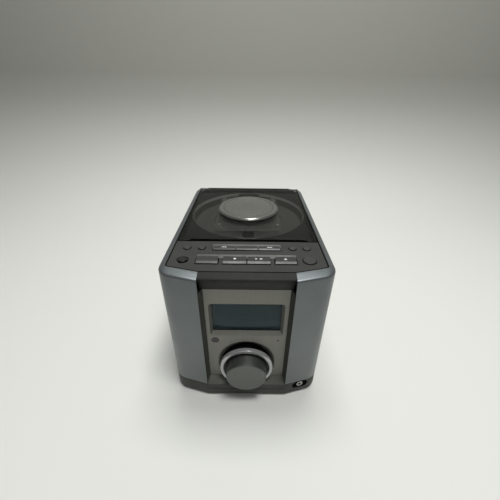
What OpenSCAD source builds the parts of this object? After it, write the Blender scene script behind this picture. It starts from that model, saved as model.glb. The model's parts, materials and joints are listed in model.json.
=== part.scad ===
// Main unit of a mini hifi system: compact-disc player, tuner and amplifier in one upright case.
// X runs to the right, Y to the rear and Z up. The origin is on the floor under the middle of the unit.

/* [Case] */
// Width over the side panels
body_w = 146; // [146:1:170]
// Depth from the front corners to the rear face
body_d = 206.8; // [206:0.2:230]
// Height from the floor to the crest of the rim
body_h = 150; // [145:1:175]
// Width of the front opening between the two angled cheeks
front_w = 78; // [74:1:82]
// How far the inner ends of the cheeks stand ahead of the front corners
cheek_rake = 9.2; // [7:0.2:11]
// Radius of the upright corners between cheek and side
corner_r = 15; // [10:1:18]
// Radius of the upright rear corners
rear_r = 14; // [10:1:15]
// Wall of the side and rear panels
wall = 2.2; // [1.8:0.1:2.8]
// Height of the shadow groove above the base
seam = 0.8; // [0.4:0.1:1.4]

/* [Base] */
// Height of the base tray without its feet
base_h = 16; // [14.6:0.2:20]
// Thickness of the base tray's upright walls
base_wall = 3.8; // [3.6:0.1:4.4]
// Thickness of the base tray's floor
base_floor = 2.5; // [2:0.1:3.5]
// How far the base draws in at its underside
base_round = 1; // [1:0.5:6.5]
// Height over which the base draws in
base_round_h = 2.5; // [2.5:0.5:14]
// Radius of a rubber foot
foot_r = 6; // [4:0.5:8]
// Height of a rubber foot
foot_h = 1.5; // [1:0.1:3]

/* [Top] */
// Width of the rim along the sides
rim_side = 5.5; // [5.2:0.1:5.6]
// Width of the rim along the angled cheeks
rim_front = 9.6; // [8:0.1:9.9]
// Width of the strip behind the lid
rim_rear = 5.1; // [5:0.1:6]
// Height of the rim's own band
rim_h = 6; // [5.6:0.1:7]
// Fall of the rim from its crest to its outer shoulder
rim_drop = 1.3; // [0.6:0.1:1.8]
// Gap round the control panel and the lid
top_gap = 1.2; // [0.8:0.1:1.5]
// Thickness of the control panel
panel_t = 2.5; // [2.2:0.1:3]
// Depth of the recesses round the two rows of keys
pocket_deep = 1.4; // [0.6:0.1:1.4]
// How far the keys stand above the control panel
key_proud = 0.8; // [0.3:0.1:1]
// Travel of a key
key_travel = 1; // [0.6:0.1:1.4]
// Gap round a key
key_gap = 0.6; // [0.3:0.05:0.7]

/* [Lid] */
// Thickness of the disc lid
lid_t = 2.5; // [2:0.1:2.8]
// Radius of the hinge barrel along the rear edge of the lid
barrel_r = 3.4; // [3:0.1:3.6]
// Radius of the hinge trunnions
trunnion_r = 1.5; // [1.2:0.1:1.8]
// Radius of the medallion on the lid
medal_r = 35; // [28:1:40]
// Height of the medallion above the lid
medal_h = 3; // [1.5:0.5:4]

/* [Disc drive] */
// Diameter of a compact disc
disc_d = 120; // [118:1:120]
// Room round the disc at the mouth of the well
well_play = 5.5; // [4:0.1:5.6]
// Depth of the well below its deck
well_deep = 11.5; // [11:0.5:13]
// Radius of the turntable's rest face
hub_r = 15; // [12:0.5:16]
// Radius of the boss that centres the disc
boss_r = 7.3; // [6.5:0.1:7.4]
// Travel of the pickup sled
sled_travel = 34; // [28:1:34]
// Teeth of the sled's drive gear
gear_teeth = 22; // [20:1:24]
// Tooth size, as pitch diameter over teeth
gear_module = 0.8; // [0.7:0.05:0.8]

/* [Front] */
// How far the faceplate lies behind the inner ends of the cheeks
face_setback = 7.7; // [6:0.1:8.5]
// Width of the dark strip between a cheek and the faceplate
strip_w = 2.6; // [2:0.1:3]
// Thickness of the faceplate
face_t = 2.2; // [1.8:0.1:2.6]
// Height of the brow over the faceplate
brow_h = 15.8; // [14:0.2:18]
// Height of the sill under the faceplate
sill_h = 5; // [3:0.5:6]
// Distance of the display from the sides of the faceplate
display_side = 6; // [5:0.1:9]
// Height of the display
display_h = 31.3; // [24:0.1:32]
// Height of the display's lower edge above the seam
display_up = 67.2; // [66:0.2:70]
// Volume knob radius
knob_r = 18.9; // [15:0.1:19.5]
// How far the knob stands ahead of the cheeks
knob_proud = 8; // [5:0.5:12]
// Height of the knob's axis above the seam
knob_up = 22.3; // [22:0.1:24]
// Outer radius of the chrome ring round the knob
ring_r = 25.7; // [24.5:0.1:26]
// Inner radius of the chrome ring
ring_in_r = 22; // [21:0.1:22.5]
// Reach of the dish in the faceplate above the knob's axis
dish_reach = 32.4; // [30:0.1:33]
// Radius of the dish in the faceplate round the ring
dish_r = 27; // [26.5:0.1:28]

/* [Sockets] */
// Distance of the headphone socket from the middle plane
phone_x = 55; // [52:0.5:58]
// Radius of the headphone socket's bore
phone_bore_r = 1.8; // [1.75:0.05:2]
// How far the rear sockets stand behind the rear face
jack_proud = 7; // [5:0.5:10]
// Outer radius of an audio socket's shell
audio_r = 4.15; // [4:0.05:4.3]
// Outer radius of the antenna socket's shell
antenna_r = 4.75; // [4.5:0.05:5]

/* [Hidden] */
$fn = 64;
arc_steps = 8;
fit = 0.05;
slip = 0.1;
clear = 0.3;

KEYS = ["standby_key", "source_key", "stop_key", "play_key", "eject_key", "bass_key", "skip_back_key",
        "band_key", "skip_on_key", "program_key", "repeat_key", "clock_key", "tone_key"];
LEVERS = ["speaker_lever_1", "speaker_lever_2", "speaker_lever_3", "speaker_lever_4"];

// Levels along the depth, from the knob's face to the tips of the rear sockets
y_knob = -(knob_proud + cheek_rake + body_d + jack_proud) / 2;
y_cheek = y_knob + knob_proud;
y_corner = y_cheek + cheek_rake;
y_rear = y_corner + body_d;
y_tip = y_rear + jack_proud;
y_face = y_cheek + face_setback;
y_wall = y_face + face_t;
bezel_t = 2;
y_bezel = y_wall + bezel_t;
board_gap = 13.3;
y_board = y_bezel + board_gap;
board_t = 1.6;

// Levels along the height
z_seam = foot_h + base_h;
z_floor = foot_h + base_floor;
z_rim = body_h - rim_h;
top_sink = 0.5;
z_top = body_h - top_sink;
z_panel = z_top - panel_t;
deck_gap = 1.5;
deck_t = 2;
z_deck = z_top - lid_t - deck_gap;
z_well = z_deck - well_deep;
well_t = 2;
z_under = z_well - well_t;
z_face = z_seam + sill_h;
z_brow = body_h - brow_h;
z_knob = z_seam + knob_up;

// Plan of the case, anticlockwise from the left cheek's inner end
half_w = body_w / 2;
front_half = front_w / 2;
cheek_slope = cheek_rake / (half_w - front_half);
cheek_angle = atan(cheek_slope);
plan = [[-front_half, y_cheek], [front_half, y_cheek], [half_w, y_corner],
        [half_w, y_rear], [-half_w, y_rear], [-half_w, y_corner]];
plan_r = [0, 0, corner_r, rear_r, rear_r, corner_r];

face_w = front_w - 2 * strip_w;
display_w = face_w - 2 * display_side;

// Inner edge of the rim, which the control panel and the lid lie inside
brow_back = 0.8;
rim_x = half_w - rim_side;
y_brow = y_corner + brow_back;
y_lid_back = y_rear - rim_rear;
rim_lead = rim_front / cos(cheek_angle);
rim_a = front_half + (y_brow - y_cheek - rim_lead) / cheek_slope;
y_rim_b = y_cheek + rim_lead + (rim_x - front_half) * cheek_slope;
rim_in = [[-rim_a, y_brow], [rim_a, y_brow], [rim_x, y_rim_b],
          [rim_x, y_lid_back], [-rim_x, y_lid_back], [-rim_x, y_rim_b]];
rim_in_r = [0, 0, 4, 0.5, 0.5, 4];
rear_half = half_w - rear_r - 2;

// Places of the two key rows and of the lid's front edge, behind the front corners
row_1 = 38;
row_2 = 18.2;
panel_back = 50;
finger_gap = 4.6;
y_panel_back = y_corner + panel_back;
y_lid_front = y_panel_back + top_gap;
finger_half = rim_x - 13.5;
finger_run = 4;

// Disc drive
y_disc = y_corner + 129.4;
well_r = disc_d / 2 + well_play;
well_foot_r = well_r - 3.2;
well_wall = 1.6;
y_well_front = y_disc - well_r + 1.4;
y_well_back = y_disc + well_r - 2.6;
small_disc_r = 41;
small_step = 1.2;
rest_up = 3;
z_rest = z_well + rest_up;
disc_t = 1.2;
chassis_t = 1.5;
damper_h = 6;
z_chassis = z_under - damper_h;
rod_x = 19;
rod_r = 1.5;
z_rod = z_chassis + 3;
lens_start = 23;
y_lens = y_disc - lens_start;
sled_half = 8;
sled_x = 22;
sled_low = z_chassis + 0.8;
sled_top = z_under - 0.6;
lens_holder_r = 5.5;
lens_r = 3.5;
gear_r = gear_module * gear_teeth / 2;
gear_pitch = PI * gear_module;
rack_x = sled_x + 3;
gear_x = rack_x + gear_r + slip;
y_gear = y_lens - sled_half + 3;
motor_shaft_r = 1;
lug_t = 2.5;
y_lug_back = y_lens + sled_half + 1;
y_lug_front = y_lens - sled_half - sled_travel - 1 - lug_t;
damper_r = 4;
damper_spots = [[-28, -50], [34, -48], [-28, 25], [40, 25]];

// Lid and its hinge
barrel_sink = 0.1;
y_hinge = y_lid_back - barrel_r - clear - 0.1;
z_hinge = z_top - barrel_sink - barrel_r;
lid_x = rim_x - top_gap;
ear_w = 4.6;
barrel_half = rim_x - clear - ear_w - clear;
lid_under = z_top - lid_t;
lid_notch = 1.2;
hook_half = 5;
hook_t = 2.5;
hook_drop = 4;
y_hook = y_lid_front + finger_gap;

// Clamper under the lid
clamp_x = 36;
clamp_y = 46;
clamp_t = 1.5;
clamp_drop = 2;
z_clamp = lid_under - clamp_drop - clamp_t;
puck_r = 16;
neck_r = 9;
puck_low = z_rest + disc_t + clear;
boss_h = 3;

// Keys: left edge, right edge and row, or centre, radius and row for the round ones
row_depth = [5.4, 9.5];
row_y = [y_corner + row_1, y_corner + row_2];
slope_run = 3.6;
pocket_lip = 1.2;
source_left = 24.6 - rim_x;
eject_right = rim_x - 26.1;
skip_left = 36.6 - rim_x;
skip_right = rim_x - 38;
pocket_over = 1;
split_gap = 0.7;
play_split = -0.3;
band_left = -10.5;
band_right = 9.5;
BAR_KEYS = [["source_key", source_left, -24.8, 1], ["stop_key", -20.6, play_split - split_gap / 2, 1],
            ["play_key", play_split + split_gap / 2, 19.5, 1], ["eject_key", 23.7, eject_right, 1],
            ["skip_back_key", skip_left, band_left - split_gap / 2, 0],
            ["band_key", band_left + split_gap / 2, band_right - split_gap / 2, 0],
            ["skip_on_key", band_right + split_gap / 2, skip_right, 0]];
ROUND_KEYS = [["standby_key", 12.8 - rim_x, 3.8, 1], ["bass_key", rim_x - 14.7, 5.5, 1],
              ["program_key", 13 - rim_x, 3.2, 0], ["repeat_key", 26.2 - rim_x, 3.2, 0],
              ["clock_key", rim_x - 26.7, 3.2, 0], ["tone_key", rim_x - 14, 3.2, 0]];
pocket_x = [[skip_left - pocket_over, skip_right + pocket_over],
            [source_left - pocket_over, eject_right + pocket_over]];
standby_ring_r = 5.25;
key_flange = 1;
flange_t = 1.5;
stem_r = 1.4;
z_flange = z_panel - clear;
stem_h = 2.4;
switch_h = 3.5;
z_switch = z_flange - flange_t - stem_h - key_travel - clear;
z_keyboard = z_switch - switch_h;
key_post_x = rim_x - 9.5;
key_post_y = 29.2;
key_post_spots = [for (x = [-key_post_x, -15, 15, key_post_x]) [x, key_post_y]];
key_post_r = 1.8;

// Display and small windows in the front
bevel_side = 2.6;
bevel_low = 4.9;
bevel_high = 2.3;
z_display = z_seam + display_up;
window_lap = 1.2;
window_t = 1.5;
sensor_in = 7.4;
sensor_x = sensor_in - face_w / 2;
sensor_up = 56.3;
sensor_r = 3.5;
lamp_in = 7.5;
lamp_x = face_w / 2 - lamp_in;
lamp_r = 0.8;
z_sensor = z_seam + sensor_up;
lamp_body_r = 1.5;

// Front board and the bosses that hold it, clear of the display module and under the key board
front_boss_r = 3;
boss_in = 4;
boss_x = display_w / 2 + window_lap + front_boss_r + 0.8;
z_front_low = z_seam + 5;
front_board_drop = 12;
z_front_high = z_keyboard - front_board_drop;

// Volume control: collar behind the dish, ring on the collar, knob shaft in the encoder's bush
knob_flare = 0.3;
knob_gap = 0.4;
neck_in_r = knob_r + knob_flare + knob_gap;
collar_t = 1.5;
collar_wall = 1;
neck_out_r = neck_in_r + collar_wall;
dish_deep = 9;
dish_t = 1.6;
dish_lip = 2.5;
lip_steps = 8;
dish_mouth_r = neck_out_r + clear;
dish_lift = dish_reach - dish_r;
dish_hole_r = dish_reach - clear;
y_dish = y_face + dish_deep;
collar_r = dish_mouth_r + dish_t;
y_collar = y_dish + slip + collar_t;
ring_out = 5.7;
ring_t = 3.9;
ring_lip = 1.1;
y_ring = y_face - ring_out;
seat_t = 1;
y_seat = y_ring + ring_t - seat_t;
bush_r = 4;
bush_proud = 1.2;
knob_shaft_r = 3;
shaft_deep = 6;

// Headphone socket in the right angled face of the base
phone_down = 4.6;
phone_deep = 2.2;
phone_nose_r = 3.3;
phone_slot_half = 8.5;
phone_slot_r = 5;

// Rear sockets
terminal_w = 46;
terminal_h = 22;
terminal_x = 35 - rear_half;
terminal_up = 55;
terminal_deep = 10;
terminal_proud = 3;
lever_w = 9;
lever_pitch = 11;
lever_pin_r = 1.2;
lever_up = 6;
lever_in = 2.6;
shoulder = 0.6;
jack_flange_t = 3;
jack_inside = 9;
jack_bore_deep = 12;
inlet_x = 19 - rear_half;
inlet_up = 20;
inlet_w = 17;
inlet_h = 9;
inlet_deep = 13;
inlet_shell = 2;
audio_x = rear_half - 35;
audio_up = [22, 40];
antenna_x = rear_half - 15;
antenna_up = 62;
y_rear_in = y_rear - wall;

// Boards and power supply
z_board = z_seam + 6;
board_x = half_w - 13;
y_board_front = y_corner + 98;
y_board_back = y_rear_in - 12;
board_post_r = 3;

function unit(v) = v / norm(v);
function left_of(v) = [-v[1], v[0]];
function before(list, i) = list[(i + len(list) - 1) % len(list)];
function after(list, i) = list[(i + 1) % len(list)];
function point_at(r, a) = [r * cos(a), r * sin(a)];

// Outline moved inwards by d; the outline runs anticlockwise
function inset(pts, d) = [for (i = [0 : len(pts) - 1])
    let (u = left_of(unit(pts[i] - before(pts, i))), v = left_of(unit(after(pts, i) - pts[i])))
    pts[i] + d * (u + v) / (1 + u * v)];

// Points of the arc that rounds corner p between the directions a and c
function corner_arc(p, a, c, r) =
    let (half = acos(a * c) / 2, centre = p + unit(a + c) * r / sin(half), start = p + a * r / tan(half),
         from = atan2(start[1] - centre[1], start[0] - centre[0]),
         turn = -sign(cross(a, c)) * (180 - 2 * half))
    [for (k = [0 : arc_steps]) centre + point_at(r, from + turn * k / arc_steps)];

// Outline with each corner rounded by its own radius
function rounded(pts, radii) = [for (i = [0 : len(pts) - 1])
    let (a = unit(before(pts, i) - pts[i]), c = unit(after(pts, i) - pts[i]))
    each radii[i] > 0 ? corner_arc(pts[i], a, c, radii[i]) : [pts[i]]];

function shrink(radii, d) = [for (r = radii) r > 0 ? max(r - d, 0.5) : 0];
function plan_in(d) = rounded(inset(plan, d), shrink(plan_r, d));
function rim_at(d) = rounded(inset(rim_in, d), shrink(rim_in_r, d));
function slab(x0, y0, x1, y1) = [[x0, y0], [x1, y0], [x1, y1], [x0, y1]];
function round_slab(x0, y0, x1, y1, r) = rounded(slab(x0, y0, x1, y1), [r, r, r, r]);

module box(low, high) {
    translate(low) cube(high - low);
}

module prism(pts, z0, z1) {
    translate([0, 0, z0]) linear_extrude(z1 - z0) polygon(pts);
}

// Bar along X with its section given in Y and Z
module bar(section, x0, x1) {
    translate([x0, 0, 0]) rotate([90, 0, 90]) linear_extrude(x1 - x0) polygon(section);
}

// Round bar along Y
module rod_y(x, z, y0, y1, r) {
    translate([x, y0, z]) rotate([-90, 0, 0]) cylinder(h = y1 - y0, r = r);
}

// Round bar along X
module rod_x_at(y, z, x0, x1, r) {
    translate([x0, y, z]) rotate([0, 90, 0]) cylinder(h = x1 - x0, r = r);
}

// Turned form on an axis along Y, with its section given in radius and Y
module turned_y(x, z, section) {
    translate([x, 0, z]) rotate([-90, 0, 0]) rotate_extrude() polygon(section);
}

// Turned form on the disc's axis, with its section given in radius and Z
module turned_disc(section) {
    translate([0, y_disc, 0]) rotate_extrude() polygon(section);
}

// Skin through a stack of like outlines, each with its height
module skin(rings, closed) {
    n = len(rings[0][0]);
    m = len(rings);
    points = [for (ring = rings) for (p = ring[0]) [p[0], p[1], ring[1]]];
    sides = [for (j = [0 : closed ? m - 1 : m - 2]) for (i = [0 : n - 1])
        let (a = j * n + i, b = j * n + (i + 1) % n, c = ((j + 1) % m) * n + i,
             d = ((j + 1) % m) * n + (i + 1) % n)
        each [[a, d, b], [a, c, d]]];
    caps = closed ? [] : [[for (i = [0 : n - 1]) i], [for (i = [n - 1 : -1 : 0]) (m - 1) * n + i]];
    polyhedron(points, concat(sides, caps));
}

module base_tray() {
    round_steps = 4;
    drawn_in = [for (k = [0 : round_steps]) let (a = 90 * k / round_steps)
        [plan_in(base_round * (1 - sin(a))), foot_h + base_round_h * (1 - cos(a))]];
    color("#3b3b39") {
        difference() {
            skin(concat(drawn_in, [[plan_in(0), z_seam]]), false);
            prism(plan_in(base_wall), z_floor, z_seam + 1);
            base_groove();
            rod_y(0, z_knob, y_cheek - 1, y_face, ring_r + clear);
            at_phone() phone_recess();
        }
        for (spot = board_posts()) translate([spot[0], spot[1], z_floor])
            cylinder(h = z_board - z_floor, r = board_post_r);
    }
}

// Fine line across the front of the base
module base_groove() {
    groove_h = 0.7;
    groove_deep = 0.5;
    groove_down = 6.7;
    box([-front_half, y_cheek - 1, z_seam - groove_down - groove_h],
        [front_half, y_cheek + groove_deep, z_seam - groove_down]);
}

function board_posts() = [for (x = [-1, 1]) for (y = [y_board_front + 8, y_board_back - 8])
    [x * (board_x - 6), y]];

// Frame on the right angled face of the base, with local -Y out of the face
module at_phone() {
    translate([phone_x, y_cheek + (phone_x - front_half) * cheek_slope, z_seam - phone_down])
        rotate([0, 0, cheek_angle]) children();
}

module phone_recess() {
    slot = round_slab(-phone_slot_half, -phone_slot_r, phone_slot_half, phone_slot_r, phone_slot_r - 0.2);
    translate([0, phone_deep, 0]) rotate([90, 0, 0]) linear_extrude(phone_deep + 2) polygon(slot);
    rod_y(0, 0, -1, base_wall + 1, phone_nose_r + slip);
}

module headphone_jack() {
    nose_sink = 0.4;
    case_w = 12;
    case_h = 10;
    case_deep = 14;
    color("#8d8d8a") at_phone() difference() {
        union() {
            rod_y(0, 0, nose_sink, base_wall + 1, phone_nose_r);
            box([-case_w / 2, base_wall + slip, -case_h / 2],
                [case_w / 2, base_wall + case_deep, case_h / 2]);
        }
        rod_y(0, 0, nose_sink - 1, case_deep, phone_bore_r);
    }
}

module rubber_feet() {
    foot_in = 21;
    color("#161616") for (x = [-1, 1]) for (y = [y_corner + foot_in, y_rear - foot_in])
        translate([x * (half_w - foot_in), y, 0]) cylinder(h = foot_h, r = foot_r);
}

// Right-hand panel: cheek, side, rear corner and the rim over them
module side_panel() {
    edge_r = 2.2;
    crest_r = 0.5;
    groove_deep = 1.2;
    z_shoulder = body_h - rim_drop - edge_r;
    edge = [for (a = [0 : 30 : 90]) [plan_in(edge_r * (1 - cos(a))), z_shoulder + edge_r * sin(a)]];
    rim = concat([[plan_in(0), z_rim]], edge,
        [[rim_at(-crest_r), body_h], [rim_at(0), body_h - crest_r], [rim_at(0), z_rim]]);
    difference() {
        union() {
            difference() {
                prism(plan_in(0), z_seam, z_rim);
                prism(plan_in(wall), z_seam - 1, z_rim + 1);
                difference() {
                    prism(plan_in(-1), z_seam - 1, z_seam + seam);
                    prism(plan_in(groove_deep), z_seam - 2, z_seam + seam + 1);
                }
            }
            skin(rim, true);
        }
        box([-body_w, y_cheek - 1, 0], [front_half, 0, body_h + 1]);
        box([-body_w, -1, 0], [rear_half + clear, y_rear + 1, body_h + 1]);
    }
    ledge_h = 3.5;
    ledge_in = 4;
    ledge_half = 5;
    for (ledge = [[y_corner + 24, z_panel], [y_corner + 58, z_deck - deck_t], [y_rear - 17, z_deck - deck_t]])
        box([rim_x - ledge_in, ledge[0] - ledge_half, ledge[1] - ledge_h],
            [half_w - wall + 0.2, ledge[0] + ledge_half, ledge[1]]);
}

module right_side_panel() {
    color("#6f7476") side_panel();
}

module left_side_panel() {
    color("#6f7476") mirror([1, 0, 0]) side_panel();
}

module rear_panel() {
    edge_r = 2.5;
    edge = [for (k = [0 : arc_steps])
        [y_rear - edge_r, z_top - edge_r] + point_at(edge_r, 90 * k / arc_steps)];
    section = concat([[y_rear_in, z_seam], [y_rear, z_seam]], edge,
        [[y_lid_back, z_top], [y_lid_back, z_rim], [y_rear_in, z_rim]]);
    vent_n = 9;
    vent_w = 3;
    vent_pitch = 8;
    vent_up = 84;
    vent_h = z_rim - 8.5 - z_seam - vent_up;
    color("#2c2c2c") difference() {
        bar(section, -rear_half, rear_half);
        rear_box(terminal_x, terminal_up, terminal_w + 2 * slip, terminal_h + 2 * slip);
        rear_box(inlet_x, inlet_up, inlet_w + 2 * (inlet_shell + slip), inlet_h + 2 * (inlet_shell + slip));
        for (up = audio_up) rod_y(audio_x, z_seam + up, y_rear_in - 1, y_rear + 1, audio_r + shoulder + slip);
        rod_y(antenna_x, z_seam + antenna_up, y_rear_in - 1, y_rear + 1, antenna_r + shoulder + slip);
        for (i = [0 : vent_n - 1])
            rear_box((i - (vent_n - 1) / 2) * vent_pitch, vent_up + vent_h / 2, vent_w, vent_h);
    }
}

// Square hole through the rear panel, by its centre and size
module rear_box(x, up, w, h) {
    box([x - w / 2, y_rear_in - 1, z_seam + up - h / 2], [x + w / 2, y_rear + 1, z_seam + up + h / 2]);
}

module control_panel() {
    outline = rim_at(top_gap);
    color("#4a4a48") {
        difference() {
            prism(outline, z_panel, z_top);
            box([-body_w, y_panel_back, z_panel - 1], [body_w, y_rear, z_top + 1]);
            for (row = [0, 1]) key_pocket(row);
            for (key = BAR_KEYS) prism(bar_outline(key, key_gap), z_panel - 1, z_top + 1);
            for (key = ROUND_KEYS) translate([key[1], row_y[key[3]], z_panel - 1])
                cylinder(h = panel_t + 2, r = key[2] + key_gap);
            translate([ROUND_KEYS[0][1], row_y[1], z_top - pocket_deep])
                cylinder(h = pocket_deep + 1, r = standby_ring_r);
        }
        for (spot = key_post_spots) translate([spot[0], y_corner + spot[1], z_keyboard + board_t])
            cylinder(h = z_panel - z_keyboard - board_t, r = key_post_r);
    }
}

// Recess of one key row, with its rear wall sloped up to the panel
module key_pocket(row) {
    front = row_y[row] - row_depth[row] / 2 - key_gap - pocket_lip;
    back = row_y[row] + row_depth[row] / 2 + key_gap;
    z_low = z_top - pocket_deep;
    section = [[front, z_low], [back, z_low], [back + slope_run, z_top], [back + slope_run, z_top + 1],
               [front, z_top + 1]];
    bar(section, pocket_x[row][0], pocket_x[row][1]);
}

function bar_outline(key, grow) = slab(key[1] - grow, row_y[key[3]] - row_depth[key[3]] / 2 - grow,
    key[2] + grow, row_y[key[3]] + row_depth[key[3]] / 2 + grow);

// Long key with its front edge bevelled
module bar_key(key) {
    bevel_run = row_depth[key[3]] / 4;
    bevel_drop = 0.9;
    low = bar_outline(key, 0)[0];
    high = bar_outline(key, 0)[2];
    cap = z_top + key_proud;
    section = [[low[1], z_flange - flange_t], [high[1], z_flange - flange_t], [high[1], cap],
               [low[1] + bevel_run, cap], [low[1], cap - bevel_drop]];
    bar(section, low[0], high[0]);
    box([low[0], low[1] - key_gap - key_flange, z_flange - flange_t],
        [high[0], high[1] + key_gap + key_flange, z_flange]);
    key_stem((low[0] + high[0]) / 2, (low[1] + high[1]) / 2);
}

// Round key with a dished top
module round_key(key) {
    dish = 0.3;
    cap = z_top + key_proud;
    foot = key[2] + key_gap + key_flange;
    section = [[0, z_flange - flange_t], [foot, z_flange - flange_t], [foot, z_flange], [key[2], z_flange],
               [key[2], cap - dish], [key[2] - dish, cap], [key[2] * 0.7, cap], [0, cap - dish]];
    translate([key[1], row_y[key[3]], 0]) rotate_extrude() polygon(section);
    key_stem(key[1], row_y[key[3]]);
}

module key_stem(x, y) {
    translate([x, y, z_flange - flange_t - stem_h]) cylinder(h = stem_h + flange_t / 2, r = stem_r);
}

module panel_key(name) {
    color("#5b5b59") {
        for (key = BAR_KEYS) if (key[0] == name) bar_key(key);
        for (key = ROUND_KEYS) if (key[0] == name) round_key(key);
    }
}

module key_board() {
    switch_half = 3;
    spots = concat([for (key = BAR_KEYS) [(key[1] + key[2]) / 2, row_y[key[3]]]],
        [for (key = ROUND_KEYS) [key[1], row_y[key[3]]]]);
    color("#2f5d3a") {
        box([-rim_x + 5.5, row_y[1] - 8, z_keyboard], [rim_x - 5.5, row_y[0] + 6, z_keyboard + board_t]);
        for (spot = spots) box([spot[0] - switch_half, spot[1] - switch_half, z_keyboard + board_t / 2],
            [spot[0] + switch_half, spot[1] + switch_half, z_switch]);
    }
}

// Dark moulding round the faceplate: brow, side strips, sill and the wall that the faceplate lies on
module front_bezel() {
    half = front_half - clear;
    strip = face_w / 2 + clear;
    cove = 1.8;
    brow_edge = 0.8;
    brow_out = 1.4;
    y_out = y_cheek + brow_out;
    cove_steps = 8;
    cove_low = [y_face, z_brow];
    cove_high = [y_out, z_top - brow_edge];
    cove_line = [for (k = [0 : cove_steps]) let (t = k / cove_steps)
        cove_high + t * (cove_low - cove_high) + [4 * cove * t * (1 - t), 0]];
    brow = concat([[y_bezel, z_brow], [y_bezel, z_panel], [y_brow, z_panel], [y_brow, z_top],
        [y_out + brow_edge, z_top]], cove_line);
    sill = [[y_cheek + clear, z_seam], [y_bezel, z_seam], [y_bezel, z_face - clear],
        [y_face, z_face - clear]];
    color("#3a3a3a") {
        difference() {
            union() {
                bar(brow, -half, half);
                bar(sill, -half, half);
                box([-half, y_wall, z_seam], [half, y_bezel, z_brow + 1]);
                for (side = [-1, 1]) prism([for (p = [[half, y_cheek + clear], [half, y_bezel],
                    [strip, y_bezel], [strip, y_face]]) [side * p[0], p[1]]], z_seam, z_brow);
            }
            rod_y(0, z_knob, y_cheek - 1, y_wall, ring_r + clear);
            rod_y(0, z_knob, y_wall - 1, y_bezel + 1, dish_hole_r);
            window_box(slip, y_wall - 1, y_bezel + 1);
            rod_y(sensor_x, z_sensor, y_wall - 1, y_bezel + 1, sensor_r + slip);
            rod_y(lamp_x, z_sensor, y_wall - 1, y_bezel + 1, lamp_body_r + slip);
        }
        for (spot = front_bosses()) rod_y(spot[0], spot[1], y_bezel, y_board, front_boss_r);
    }
}

function front_bosses() = [for (x = [-1, 1]) for (z = [z_front_low + boss_in, z_front_high - boss_in])
    [x * boss_x, z]];

// Display window's place behind the faceplate, grown by d
module window_box(d, y0, y1) {
    half = display_w / 2 + window_lap + d;
    box([-half, y0, z_display - window_lap - d], [half, y1, z_display + display_h + window_lap + d]);
}

module faceplate() {
    half = face_w / 2;
    color("#8b877d") difference() {
        union() {
            box([-half, y_face, z_face], [half, y_wall, z_brow - clear]);
            dish_shell(0);
            dish_shell(dish_lift);
        }
        display_bevel();
        dish_space(0);
        dish_space(dish_lift);
        rod_y(sensor_x, z_sensor, y_face - 1, y_wall + 1, sensor_r + slip);
        rod_y(lamp_x, z_sensor, y_face - 1, y_wall + 1, lamp_r + slip);
    }
}

// The dish is two cones, one round the knob's axis and one set higher, that share the mouth's top
function dish_slope(lift) = (dish_r - dish_mouth_r + lift) / dish_deep;

module dish_space(lift) {
    mouth = dish_mouth_r - lift;
    turn = 90 - atan(dish_slope(lift));
    start = dish_r + dish_lip * tan(turn / 2);
    lip_line = [for (k = [0 : lip_steps]) let (a = turn * k / lip_steps)
        [start - dish_lip * sin(a), y_face + dish_lip * (1 - cos(a))]];
    turned_y(0, z_knob + lift, concat([[0, y_face - 1], [start, y_face - 1]], lip_line,
        [[mouth, y_dish], [mouth, y_dish + 1], [0, y_dish + 1]]));
}

module dish_shell(lift) {
    mouth = dish_mouth_r - lift;
    y_root = y_wall - 0.3;
    turned_y(0, z_knob + lift, [[mouth - 1, y_root],
        [dish_r - dish_slope(lift) * (y_root - y_face - dish_t), y_root],
        [mouth + dish_slope(lift) * dish_t, y_dish], [mouth - 1, y_dish]]);
}

// Bevelled mouth of the display, wide at the face and narrow at the window
module display_bevel() {
    half = display_w / 2;
    mouth_r = 3.5;
    glass_r = 1;
    over = 0.2;
    mouth = round_slab(-half - bevel_side, z_display - bevel_low, half + bevel_side,
        z_display + display_h + bevel_high, mouth_r);
    glass = round_slab(-half, z_display, half, z_display + display_h, glass_r);
    step = over / face_t;
    far = [for (i = [0 : len(mouth) - 1]) mouth[i] + (1 + step) * (glass[i] - mouth[i])];
    near = [for (i = [0 : len(mouth) - 1]) mouth[i] - step * (glass[i] - mouth[i])];
    translate([0, y_wall + over, 0]) rotate([90, 0, 0]) skin([[far, 0], [near, face_t + 2 * over]], false);
}

module display_window() {
    color("#3c4a4e") window_box(0, y_wall, y_wall + window_t);
}

module display_module() {
    color("#4f6266") window_box(-0.4, y_wall + window_t, y_board);
}

// Black neck round the knob, with the flange that carries the ring
module knob_collar() {
    seat_r = ring_r - ring_lip - slip;
    y_in = y_collar - collar_t;
    section = [[bush_r + slip, y_in], [neck_in_r, y_in], [neck_in_r, y_seat], [seat_r, y_seat],
        [seat_r, y_seat + seat_t], [neck_out_r, y_seat + seat_t], [neck_out_r, y_in], [collar_r, y_in],
        [collar_r, y_collar], [bush_r + slip, y_collar]];
    color("#121212") turned_y(0, z_knob, section);
}

module knob_ring() {
    bevel = 0.6;
    section = [[ring_in_r, y_ring + bevel], [ring_in_r + bevel, y_ring], [ring_r - bevel, y_ring],
        [ring_r, y_ring + bevel], [ring_r, y_ring + ring_t], [ring_r - ring_lip, y_ring + ring_t],
        [ring_r - ring_lip, y_seat], [ring_in_r, y_seat]];
    color("#c9ccce") turned_y(0, z_knob, section);
}

module volume_knob() {
    chamfer = 0.8;
    sink = 0.6;
    y_back = y_face + sink;
    y_end = y_collar + shaft_deep;
    section = [[0, y_knob], [knob_r - chamfer, y_knob], [knob_r, y_knob + chamfer],
        [knob_r + knob_flare, y_back],
        [knob_shaft_r, y_back], [knob_shaft_r, y_end], [0, y_end]];
    color("#7d807d") turned_y(0, z_knob, section);
}

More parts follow.
